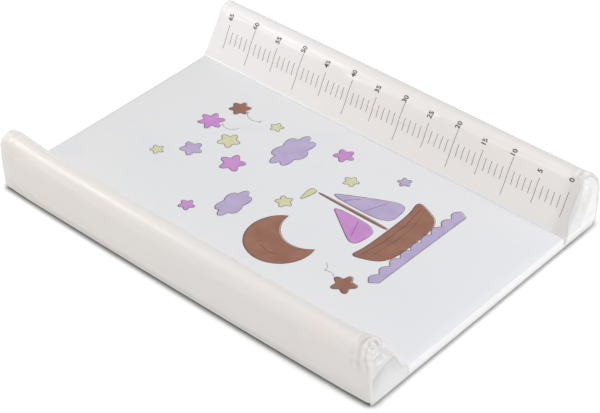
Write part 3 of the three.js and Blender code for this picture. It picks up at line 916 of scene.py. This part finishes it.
def storeSeam(mesh):
    # keeps each point's distance from the end seam, for the material to draw the seam's fine lines, its
    # painted shade and the cap tints
    b, c = bolster, capSeam
    layer = mesh.attributes.new("seamGap", "FLOAT", "POINT")
    for vertex, item in zip(mesh.vertices, layer.data):
        drawn = leanOf(vertex.co)
        gap = (b["halfLength"] - abs(vertex.co.x) - drawn) / (1 - drawn / lean["reach"])
        depth, share = sectionPlace(vertex.co)[2:]
        onCap = gap < c["thickness"] and depth > b["endRadius"] - c["overlap"]
        item.value = depth - b["endRadius"] if onCap else -max(gap, 0.0)
        if vertex.co.x > 0 and vertex.co.y > 0:
            tall = smoothStep(vertex.co.z, *c["rise"]) * smoothStep(vertex.co.z, *c["fall"])
            item.value += c["shift"] * tall * smoothStep(share, *c["slopeShare"])


def cutRoom(piece, low, high, sharpAngle):
    # takes the room for the board and what lies under it out of a finished piece
    bm = bmesh.new()
    addBox(bm, Vector(low), Vector(high))
    cutter = meshObject("cutter", bm)
    bm.free()
    cut = piece.modifiers.new("room", "BOOLEAN")
    setUp(cut, operation="DIFFERENCE", solver="EXACT", object=cutter)
    evaluated = piece.evaluated_get(bpy.context.evaluated_depsgraph_get())
    mesh = bpy.data.meshes.new_from_object(evaluated)
    piece.modifiers.clear()
    piece.data = mesh
    bpy.data.objects.remove(cutter)
    mesh.set_sharp_from_angle(angle=math.radians(sharpAngle))


boardRoom = {
    "roof": 8.1 * mm,
    "skin": 0.6 * mm,
    "lip": 0.1 * mm,
    "endGap": 3 * mm,
    "panelGap": 0.8 * mm,
    "outerY": 248.2 * mm,
    "hemY": 221 * mm,
    "hemX": 322 * mm,
    "overrun": 4 * mm,
    "sharpAngle": 50,
}


def makeBolster(side):
    name = "rearBolster" if side > 0 else "frontBolster"
    b, room = bolster, boardRoom
    bm = bolsterBody()
    roundEnds(bm)
    if side < 0:
        bmesh.ops.scale(bm, vec=(1, -1, 1), verts=bm.verts)
        bmesh.ops.recalc_face_normals(bm, faces=bm.faces)
    inflate(bm, heldBolster, bolsterCloth)
    dressEnds(bm, side)
    leanEnds(bm, side)
    piece = finishPiece(name, bm, rearLitFilm if side > 0 else frontFilm)
    subdivided(piece)
    length = b["halfLength"] - room["endGap"]
    inner = b["innerY"] - room["overrun"]
    floor, skin = b["underZ"] - room["overrun"], b["underZ"] + room["skin"]
    boxes = [(room["outerY"], skin, room["roof"]), (room["hemY"], floor, skin + room["lip"])]
    for reach, low, high in boxes:
        near, far = sorted((side * inner, side * reach))
        cutRoom(piece, (-length, near, low), (length, far, high), room["sharpAngle"])
    storeSeam(piece.data)
    end = "rear" if side > 0 else "front"
    caps = [f"{end}_left_end_cap", f"{end}_right_end_cap"]
    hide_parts(f"{end}_bolster_cover", f"{end}_bolster_foam", *caps)
    print(name, "made,", len(piece.data.vertices), "vertices")
    return piece


rearBolster = makeBolster(1)
makeBolster(-1)


panelLow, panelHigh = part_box("centre_cover")
panel = {
    "halfLength": panelHigh.x,
    "halfWidth": panelHigh.y + 0.4 * mm,
    "underZ": panelLow.z,
    "seamZ": 17.7 * mm,
    "lyingZ": 18.5 * mm,
    "crown": 1.5 * mm,
    "crownFoot": 4 * mm,
    "cornerRadius": 1.6 * mm,
    "rimRadius": 2 * mm,
    # edges of the outline at each end: corner, end and rim
    "endSteps": (3, 3, 5),
    "seamReach": 3 * mm,
    "acrossCuts": 98,
    "sideGaps": [g * mm for g in (1, 1.6, 2.4, 3.4, 4.6, 6)],
    "rowStep": 7.2 * mm,
}
panelCloth = {
    "pressure": 1.2,
    "limit": 1.4 * mm,
    "dent": 0.5 * mm,
    "heldSide": 5 * mm,
    "heldUnder": (3 * mm, 9 * mm),
}


def panelBody():
    # a grid across the side of the panel, drawn out over its width
    p = panel
    bm = bmesh.new()
    y, half = -p["halfWidth"], p["halfLength"]
    axis = (0, 1, 0)
    cornerSteps, endSteps, rimSteps = p["endSteps"]
    sides = []
    for side in (-1, 1):
        lowest = bm.verts.new((side * (half - p["cornerRadius"]), y, p["underZ"]))
        centre = (lowest.co.x, y, p["underZ"] + p["cornerRadius"])
        path = [lowest] + arcFrom(bm, lowest, centre, axis, -90 * side, cornerSteps)
        top = Vector((side * half, y, p["lyingZ"] - p["rimRadius"]))
        path += lineFrom(bm, path[-1], top, endSteps)
        rimCentre = (side * (half - p["rimRadius"]), y, top.z)
        path += arcFrom(bm, path[-1], rimCentre, axis, -90 * side, rimSteps)
        sides += edgesAlong(path)
    fillEnd(bm, sides, p["acrossCuts"])
    rows = rowPositions(p["halfWidth"], p["sideGaps"], p["rowStep"])
    drawOut(bm, (0, 2 * p["halfWidth"], 0), rows, 1)
    for vertex in bm.verts:
        across = abs(vertex.co.y) / p["halfWidth"]
        along = abs(vertex.co.x) / half
        share = smoothStep(vertex.co.z, p["underZ"] + p["crownFoot"], p["lyingZ"])
        crown = p["crown"] * (1 - across ** 2) * (1 - along ** 6)
        edge = 1 - smoothStep(p["halfWidth"] - abs(vertex.co.y), 0, p["seamReach"])
        vertex.co.z += share * (crown - (p["lyingZ"] - p["seamZ"]) * edge)
    return bm


def heldPanel(place):
    side = 1 - smoothStep(panel["halfWidth"] - abs(place.y), 0, panelCloth["heldSide"])
    low = 1 - smoothStep(place.z - panel["underZ"], *panelCloth["heldUnder"])
    return min(1.0, max(side, low))


def makePanel():
    bm = panelBody()
    inflate(bm, heldPanel, panelCloth)
    piece = finishPiece("lyingPanel", bm, panelFilm)
    subdivided(piece)
    room = boardRoom
    skin = panel["underZ"] + room["skin"]
    wide = panel["halfWidth"] + room["overrun"]
    length = panel["halfLength"] - room["panelGap"]
    floor = panel["underZ"] - room["overrun"]
    cutRoom(piece, (-length, -wide, skin), (length, wide, room["roof"]), room["sharpAngle"])
    opening = (room["hemX"], wide, skin + room["lip"])
    cutRoom(piece, (-room["hemX"], -wide, floor), opening, room["sharpAngle"])
    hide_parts("centre_cover", "centre_foam")
    print("lyingPanel made,", len(piece.data.vertices), "vertices")
    return piece


lyingPanel = makePanel()


ruler = {
    "zeroX": 329.1 * mm,
    "step": 10 * mm,
    "last": 65,
    "lineWidth": 0.92 * mm,
    "shortLine": (32.5 * mm, 52.5 * mm),
    "mediumLine": (22.2 * mm, 61.1 * mm),
    "longLine": (12.6 * mm, 71.6 * mm),
    "highNumber": 78 * mm,
    "lowNumber": 73.2 * mm,
    "dropped": {5: 3 * mm},
    "numberShift": 3.3 * mm,
    "numberSize": 11.2 * mm,
    "numberWeight": 0.3 * mm,
    "thickness": 0.05 * mm,
    "lift": 0.07 * mm,
    # rows cut across the lines and the numbers, so that they bend with the film
    "lineRows": [4 * k * mm for k in range(2, 20)],
    "numberRows": [(62 + 1.5 * k) * mm for k in range(20)],
    # where the rays that lay the marks on the film start, and how far they reach
    "castFrom": 15 * mm,
    "castReach": 40 * mm,
}
rearSurface = surfaceOf(rearBolster)
panelSurface = surfaceOf(lyingPanel)


def slopePlace(distance):
    # a point this far up the slope from its foot, and on over the crest, with the direction out of the film
    b = bolster
    foot = Vector((0, b["footY"], b["lyingZ"]))
    crest = Vector((0, b["crestY"], b["crestZ"]))
    outwards = Vector((0, -math.sin(b["slope"]), math.cos(b["slope"])))
    run = crest + outwards * b["crestRadius"] - foot
    if distance <= run.length:
        return foot + run * (distance / run.length), outwards
    turn = b["slope"] - (distance - run.length) / b["crestRadius"]
    outwards = Vector((0, -math.sin(turn), math.cos(turn)))
    return crest + outwards * b["crestRadius"], outwards


def layOnSlope(bm, lift):
    # the marks are drawn flat, with x along the mat and y up the slope
    for vertex in bm.verts:
        place, outwards = slopePlace(vertex.co.y)
        place.x = vertex.co.x
        start = place + outwards * ruler["castFrom"]
        hit = rearSurface.ray_cast(start, -outwards, ruler["castReach"])[0]
        vertex.co = (hit or place) + outwards * (lift + vertex.co.z)


def layOnPanel(bm, lift):
    height = printing["castFrom"]
    for vertex in bm.verts:
        above = Vector((vertex.co.x, vertex.co.y, height))
        hit = panelSurface.ray_cast(above, Vector((0, 0, -1)), height)[0]
        vertex.co.z += hit.z + lift


def extent(verts):
    places = [v.co for v in verts]
    return [Vector([pick(p[axis] for p in places) for axis in range(3)]) for pick in (min, max)]


def addCurve(bm, curve, placed, centred=False):
    # a flat curve or a text made a mesh, put in its place and added to the piece
    holder = inScene("flat", curve)
    mesh = bpy.data.meshes.new_from_object(holder.evaluated_get(bpy.context.evaluated_depsgraph_get()))
    bpy.data.objects.remove(holder)
    shape = bmesh.new()
    shape.from_mesh(mesh)
    bmesh.ops.remove_doubles(shape, verts=shape.verts, dist=0.001 * mm)
    low, high = extent(shape.verts)
    for vertex in shape.verts:
        vertex.co = placed(vertex.co - (low + high) / 2 if centred else vertex.co)
    shape.to_mesh(mesh)
    shape.free()
    bm.from_mesh(mesh)
    bpy.data.meshes.remove(mesh)


def addRulerLines(bm):
    r = ruler
    size = Vector((r["lineWidth"], 0, r["thickness"])) / 2
    for k in range(r["last"] + 1):
        kind = "longLine" if k and k % 10 == 0 else "mediumLine" if k % 5 == 0 else "shortLine"
        low, high = [Vector((r["zeroX"] - k * r["step"], y, 0)) for y in r[kind]]
        addBox(bm, low - size, high + size)
    cutRows(bm, r["lineRows"], 1)


def addRulerNumbers(bm):
    # the numbers are read from the right end of the mat, so they are turned a quarter
    r = ruler
    for k in range(0, r["last"] + 1, 5):
        curve = bpy.data.curves.new("number", "FONT")
        setUp(curve, body=str(k), size=r["numberSize"], offset=r["numberWeight"])
        setUp(curve, extrude=r["thickness"] / 2, resolution_u=3)
        height = (r["highNumber"] if k % 10 == 0 else r["lowNumber"]) - r["dropped"].get(k, 0)
        middle = Vector((r["zeroX"] - k * r["step"] - r["numberShift"], height, 0))
        addCurve(bm, curve, lambda place: middle + Vector((-place.y, place.x, place.z)), True)
    cutRows(bm, r["numberRows"], 1)


def printRuler(name, addMarks, ink):
    marks = bmesh.new()
    addMarks(marks)
    layOnSlope(marks, ruler["lift"])
    finishPiece(name, marks, inks[ink], 50)


printRuler("rulerNumbers", addRulerNumbers, "darkInk")
printRuler("rulerLines", addRulerLines, "greyInk")
print("ruler printed")


printing = {
    "scale": 1.1,
    "thickness": 0.05 * mm,
    "fillLift": 0.07 * mm,
    "lineLift": 0.14 * mm,
    "lineWidth": 1.05 * mm,
    "lineShift": Vector((0.9, -0.7)) * mm,
    # how much the pressure of the pen changes, and how often
    "penLeast": 0.8,
    "penBeat": 0.35,
    "penScale": 60,
    # rows cut across the shapes both ways, so that they lie on the crowned panel
    "rows": [7 * k * mm for k in range(-34, 35)],
    "castFrom": 60 * mm,
}
outlines = {
    # points round a shape with a waved rim, and how a cloud's rim swells and how flat it lies
    "lobedPoints": 80,
    "cloudPoints": 96,
    "cloudCore": 0.82,
    "cloudBump": 0.3,
    "cloudTall": 0.56,
    # degrees from the middle of a crescent to its tips, and half the points of each of its two arcs
    "crescentTip": 128,
    "crescentOuter": 24,
    "crescentInner": 20,
    # how far a corner is cut back each time
    "corner": 0.2,
    # a wave's points, its rise and fall, and how far the strip under the waves is drawn in
    "wavePoints": 12,
    "waveFall": 5,
    "waveRise": 7,
    "stripEnds": [(-6, 0), (8, 2)],
    "curlPoints": 40,
}


def flat(points):
    return [Vector(p) * printing["scale"] * mm for p in points]


def ring(centre, count, reachAt, turn=0.0, tall=1.0):
    points = []
    for k in range(count):
        angle = 2 * math.pi * k / count
        reach = reachAt(angle)
        across, up = reach * math.sin(angle + turn), tall * reach * math.cos(angle + turn)
        points.append((centre[0] + across, centre[1] + up))
    return flat(points)


def lobed(centre, radius, lobes, wave, turn=0.0):
    # a round shape with waves in its rim, as a star with soft points
    def reachAt(angle):
        return radius * (1 + wave * math.cos(lobes * angle))

    return ring(centre, outlines["lobedPoints"], reachAt, turn)


def cloud(centre, radius, bumps, turn=0.0):
    def reachAt(angle):
        swell = abs(math.sin(bumps * angle / 2 + turn))
        return radius * (outlines["cloudCore"] + outlines["cloudBump"] * swell)

    return ring(centre, outlines["cloudPoints"], reachAt, tall=outlines["cloudTall"])


def crescent(centre, radius, biteShare, turn):
    # an arc out and a flatter arc back between the same two tips
    tip = math.radians(outlines["crescentTip"])
    middle = radius * (math.cos(tip) - biteShare)
    inner = math.hypot(radius * math.cos(tip) - middle, radius * math.sin(tip))
    half = math.atan2(radius * math.sin(tip), radius * math.cos(tip) - middle)
    there, back = outlines["crescentOuter"], outlines["crescentInner"]
    arcs = [(0, radius, tip * (k / there - 1)) for k in range(2 * there + 1)]
    arcs += [(middle, inner, half * (1 - k / back)) for k in range(1, 2 * back)]
    points = []
    for shift, reach, angle in arcs:
        x, y = shift + reach * math.cos(angle), reach * math.sin(angle)
        across = (x * math.cos(turn) - y * math.sin(turn), x * math.sin(turn) + y * math.cos(turn))
        points.append((centre[0] + across[0], centre[1] + across[1]))
    return flat(points)


def softened(points, times=3):
    # takes the corners off an outline, a little more each time
    near = outlines["corner"]
    points = flat(points)
    for _ in range(times):
        pairs = list(zip(points, points[1:] + points[:1]))
        points = [place for a, b in pairs for place in (a.lerp(b, near), a.lerp(b, 1 - near))]
    return points


def scallops(left, right, top, deep, count):
    # a strip with waves along its top
    total = count * outlines["wavePoints"]
    points = []
    for k in range(total + 1):
        wave = abs(math.sin(math.pi * count * k / total))
        height = top - outlines["waveFall"] + outlines["waveRise"] * wave
        points.append((left + (right - left) * k / total, height))
    for end, (across, up) in zip((right, left), outlines["stripEnds"]):
        points.append((end + across, top - deep + up))
    return flat(points)


def sideOf(run, reach):
    return Vector((run.y, -run.x)).normalized() * reach


def rim(points, width, shift):
    # a closed line round a shape, drawn a little off it as by hand
    p = printing
    sides = ([], [])
    for k, place in enumerate(points):
        run = points[(k + 1) % len(points)] - points[k - 1]
        beat = p["penLeast"] + p["penBeat"] * noise.noise(place.to_3d() * p["penScale"])
        beside = sideOf(run, beat * width / 2)
        sides[0].append(place + shift + beside)
        sides[1].append(place + shift - beside)
    return sides


def penLine(points, width):
    points = flat(points)
    left, right = [], []
    for k, place in enumerate(points):
        run = points[min(k + 1, len(points) - 1)] - points[max(k - 1, 0)]
        beside = sideOf(run, width * mm / 2)
        left.append(place + beside)
        right.append(place - beside)
    return left + right[::-1]


def curl(start, run, swing, turns):
    # a loose string with loops in it
    points = []
    for k in range(outlines["curlPoints"] + 1):
        share = k / outlines["curlPoints"]
        angle = share * turns * 2 * math.pi
        across, up = swing * math.sin(angle), swing * (1 - math.cos(angle))
        points.append((start[0] + run[0] * share + across, start[1] + run[1] * share + up))
    return points


drawing = {
    # places in mm: right along the width of the mat, and up towards its left end
    "brown": [
        softened([(-52, -134), (-24, -140), (60, -140), (94, -131), (78, -172), (58, -182), (-16, -182),
                  (-38, -171)]),
        softened([(17.5, -138), (22.5, -138), (21.5, -22), (18.5, -22)], 2),
        crescent((-84, -48), 48, 0.3, 2.75),
        lobed((92, 186), 13, 6, 0.2, 0.3),
        lobed((-98, -166), 14, 5, 0.24, 0.2),
    ],
    "lilac": [
        softened([(27, -134), (27, -30), (46, -62), (80, -128)]),
        scallops(-76, 112, -182, 17, 9),
        cloud((66, 66), 36, 7),
        cloud((-70, 48), 28, 6, 0.5),
        lobed((-20, 172), 13, 5, 0.22, 0.5),
        lobed((112, -92), 8, 5, 0.24, 0.9),
    ],
    "orchid": [
        softened([(12, -132), (12, -52), (-6, -78), (-38, -126)]),
        lobed((-8, 108), 15, 5, 0.24),
        lobed((104, 6), 12, 5, 0.24, 0.6),
        lobed((44, 196), 15, 6, 0.26, 0.2),
        lobed((-112, 92), 9, 5, 0.24, 0.3),
    ],
    "olive": [
        softened([(22, -20), (22, -6), (-12, -12)], 2),
        lobed((26, 146), 13, 5, 0.24, 0.3),
        lobed((-24, 0), 10, 5, 0.24, 0.7),
        lobed((92, 118), 8, 5, 0.24),
        lobed((-52, 206), 8, 5, 0.24, 0.5),
        lobed((66, -38), 9, 5, 0.24, 0.2),
    ],
}
penStrokes = [
    penLine([(-38, -146), (0, -151), (44, -151), (78, -145)], 0.7),
    penLine([(-30, -157), (4, -161), (40, -161), (68, -156)], 0.5),
    penLine([(30, -58), (46, -72)], 0.6),
    penLine([(30, -92), (62, -104)], 0.6),
    penLine([(9, -100), (-20, -112)], 0.6),
    penLine(curl((92, 172), (-8, -40), 5, 1.5), 0.55),
    penLine(curl((-98, -151), (14, 26), 4, 1.2), 0.55),
    penLine(curl((44, 180), (10, -30), 4, 1.3), 0.55),
    penLine([(-108, -66), (-113, -52), (-108, -36)], 0.6),
]


def addShape(bm, loops):
    curve = bpy.data.curves.new("shape", "CURVE")
    setUp(curve, dimensions="2D", fill_mode="BOTH", extrude=printing["thickness"] / 2)
    for points in loops:
        spline = curve.splines.new("POLY")
        spline.points.add(len(points) - 1)
        for item, place in zip(spline.points, points):
            item.co = (place.x, place.y, 0, 1)
        spline.use_cyclic_u = True
    addCurve(bm, curve, lambda place: Vector((-place.y, place.x, place.z)))


def finishPrint(name, bm, ink, lift):
    cutRows(bm, printing["rows"], 0)
    cutRows(bm, printing["rows"], 1)
    layOnPanel(bm, lift)
    finishPiece(name, bm, inks[ink], 50)


lines = bmesh.new()
for colour, shapes in drawing.items():
    fills = bmesh.new()
    for points in shapes:
        addShape(fills, [points])
        addShape(lines, rim(points, printing["lineWidth"], printing["lineShift"]))
    finishPrint(colour + "Print", fills, colour + "Ink", printing["fillLift"])
for points in penStrokes:
    addShape(lines, [points])
finishPrint("linePrint", lines, "lineInk", printing["lineLift"])
print("panel printed")


hemStrip = {
    "foldRadius": 1.1 * mm,
    "endGaps": [2 * mm, 3 * mm, 5 * mm, 8 * mm],
    "rowStep": 9 * mm,
    "ripple": 0.24 * mm,
    "rippleScale": 24,
    "tuckShare": 0.45,
    # room round the crown of each staple
    "staples": 5,
    "dentDepth": 1.2 * mm,
    "dentMargin": 0.3 * mm,
    "sharpAngle": 40,
}


def makeHem(side):
    h = hemStrip
    node = "right_end_hem" if side > 0 else "left_end_hem"
    low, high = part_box(node)
    width = high.x - low.x
    bm = bmesh.new()
    addBox(bm, low, high)
    outerX = high.x if side > 0 else low.x
    for vertex in bm.verts:
        if abs(vertex.co.x - outerX) > width / 2:
            vertex.co.y -= math.copysign(width, vertex.co.y)
    longEdges = [e for e in bm.edges if abs(e.verts[0].co.y - e.verts[1].co.y) > width]
    bmesh.ops.bevel(bm, geom=longEdges, offset=h["foldRadius"], offset_type="OFFSET",
                    segments=3, profile=0.5, affect="EDGES", material=-1)
    cutRows(bm, rowPositions(high.y, h["endGaps"], h["rowStep"]), 1)
    for vertex in bm.verts:
        wave = noise.noise(Vector((side * 3.1, vertex.co.y * h["rippleScale"], 0.7)))
        if abs(vertex.co.x - outerX) < width / 3:
            vertex.co.x -= side * abs(wave) * h["ripple"]
        tuckIn(vertex.co, h["tuckShare"])
    piece = finishPiece(node.replace("_end_hem", "EndHem"), bm, hemFilm, h["sharpAngle"])
    firstStaple = h["staples"] + 1 if side > 0 else 1
    margin = Vector((h["dentMargin"], h["dentMargin"], 0))
    for k in range(firstStaple, firstStaple + h["staples"]):
        crownLow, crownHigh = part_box(f"end_staple_{k}")
        depth = Vector((0, 0, h["dentDepth"]))
        dentTop = Vector((crownHigh.x, crownHigh.y, crownLow.z)) + depth
        cutRoom(piece, crownLow - margin - depth, dentTop + margin, h["sharpAngle"])
    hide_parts(node)


makeHem(-1)
makeHem(1)
print("end hems made")


backingSheet = {
    "thickness": 0.5 * mm,
    "clearance": 0.02 * mm,
    "sag": 0.15 * mm,
    "sagScale": 14,
    "cornerRadius": 8 * mm,
    "rowStep": 12 * mm,
}


def makeBacking():
    c = backingSheet
    low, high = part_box("underside_cloth")
    bm = bmesh.new()
    made = bmesh.ops.create_grid(bm, x_segments=1, y_segments=1, size=0.5)["verts"]
    bmesh.ops.scale(bm, vec=(high.x - low.x, high.y - low.y, 1), verts=made)
    bmesh.ops.bevel(bm, geom=list(bm.verts), offset=c["cornerRadius"], offset_type="OFFSET",
                    segments=5, profile=0.5, affect="VERTICES", material=-1)
    cutRows(bm, rowPositions(high.x, [], c["rowStep"]), 0)
    cutRows(bm, rowPositions(high.y, [], c["rowStep"]), 1)
    for vertex in bm.verts:
        wave = noise.noise(Vector((vertex.co.x * c["sagScale"], vertex.co.y * c["sagScale"], 2.3)))
        vertex.co.z = high.z - c["clearance"] - c["sag"] * abs(wave)
    piece = finishPiece("undersideBacking", bm, backing)
    setUp(piece.modifiers.new("thickness", "SOLIDIFY"), thickness=c["thickness"] - c["sag"], offset=-1)
    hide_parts("underside_cloth")


makeBacking()
for name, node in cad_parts.items():
    if name == "base_board" or "staple" in name:
        node.data.materials.clear()
        node.data.materials.append(hardboard if name == "base_board" else wire)
print("underside made")


camera = {
    "lens": 114.2015,
    "place": (1.44629, -1.61142, 1.71115),
    "turn": (0.901093, 0.004579, 0.725005),
}
stage = {
    "floorSize": 12,
    "floorDrop": 0.05 * mm,
    "floorColour": paint(228, 228, 228),
    "seenFloor": (1.25, 1.25, 1.25, 1),
    "farFloor": (0.9, 1.9),
    "worldLight": 0.455,
    # the painted contact shadow under the mat: how wide and how dark it is, and where it begins and ends
    "contactReach": 10.5 * mm,
    "contactShade": 0.2,
    "contactRange": (0.42, 0.94),
    # how much the painted shadow thins out at the rear right corner, and over which Y
    "contactEase": 0.3,
    "easedFrom": (198 * mm, 240 * mm),
}
lamps = {
    "zenith": {"place": (0, 0.1, 2.2), "size": (1.6, 1.6), "power": 14.5},
    "leftSoft": {"place": (-1.18, -0.5, 1.05), "size": (0.6, 0.8), "power": 5.7},
    "rightSide": {"place": (1.9, 1.2, 0.9), "size": (0.9, 0.9), "power": 2.6},
    "rightLow": {"place": (2.2, 0.6, 0.45), "size": (0.9, 0.5), "power": 10.5},
    "frontLow": {"place": (0.6, -2.2, 0.6), "size": (1.6, 0.5), "power": 6.8},
    "rightFront": {"place": (2, -0.7, 1.3), "size": (0.9, 0.9), "power": 4},
}


def addCamera():
    lens = setUp(bpy.data.cameras.new("camera"), lens=camera["lens"], sensor_width=36, clip_start=0.05)
    eye = setUp(inScene("camera", lens), location=camera["place"], rotation_euler=camera["turn"])
    scene.camera = eye


def addLamp(name, place, size, power):
    light = bpy.data.lights.new(name, "AREA")
    setUp(light, shape="RECTANGLE", size=size[0], size_y=size[1], energy=power)
    aim = (-Vector(place)).to_track_quat("-Z", "Y").to_euler()
    setUp(inScene(name, light), location=place, rotation_euler=aim)


def seenBy(tree, *kinds):
    # 1 for rays of these kinds, and 0 for the light that falls on the mat
    path = addNode(tree, "LightPath", {}).node
    total = path.outputs[kinds[0]]
    for kind in kinds[1:]:
        total = addNode(tree, "Math", {0: total, 1: path.outputs[kind]}, operation="MAXIMUM")
    return total


def addFloor():
    bm = bmesh.new()
    made = bmesh.ops.create_grid(bm, x_segments=1, y_segments=1, size=stage["floorSize"] / 2)["verts"]
    bmesh.ops.translate(bm, vec=(0, 0, -stage["floorDrop"]), verts=made)
    floor = meshObject("floor", bm)
    bm.free()
    material = bpy.data.materials.new("paleFloor")
    material.use_nodes = True
    tree = material.node_tree
    tree.nodes.clear()
    place = addNode(tree, "TexCoord", {}, "Object")
    # near the mat the floor as the camera sees it darkens with ambient occlusion, a painted contact shadow
    near = addNode(tree, "AmbientOcclusion", {"Distance": stage["contactReach"]}, "AO", samples=6)
    white = stage["seenFloor"]
    shade = [c * stage["contactShade"] for c in white[:3]] + [1]
    eased = spread(tree, axesOf(tree, place)[1], 0, stage["contactEase"], *stage["easedFrom"])
    line = blendColours(tree, eased, shade, white)
    contact = tintBy(tree, line, near, stage["contactRange"], white)
    seen = seenBy(tree, "Is Camera Ray", "Is Glossy Ray", "Is Transmission Ray")
    ground = addNode(tree, "BsdfDiffuse", {"Color": blendColours(tree, seen, stage["floorColour"], contact)})
    # far from the mat the floor is seen as white as the world behind it
    away = addNode(tree, "VectorMath", {0: place}, "Value", operation="LENGTH")
    far = spread(tree, away, 0, 1, *stage["farFloor"])
    share = addNode(tree, "Math", {0: far, 1: seen}, operation="MULTIPLY")
    whole = addNode(tree, "MixShader", {0: share, 1: ground, 2: addNode(tree, "Emission", {})})
    output = tree.nodes.new("ShaderNodeOutputMaterial")
    tree.links.new(whole, output.inputs["Surface"])
    floor.data.materials.append(material)


def addWorld():
    world = bpy.data.worlds.new("studio")
    scene.world = world
    world.use_nodes = True
    tree = world.node_tree
    background = tree.nodes["Background"]
    background.inputs["Color"].default_value = (1, 1, 1, 1)
    seen = seenBy(tree, "Is Camera Ray", "Is Transmission Ray")
    strength = addNode(tree, "Mix", {0: seen, 2: stage["worldLight"], 3: 1.0})
    tree.links.new(strength, background.inputs["Strength"])


addCamera()
addFloor()
addWorld()
for name, facts in lamps.items():
    addLamp(name, **facts)
print("stage made")
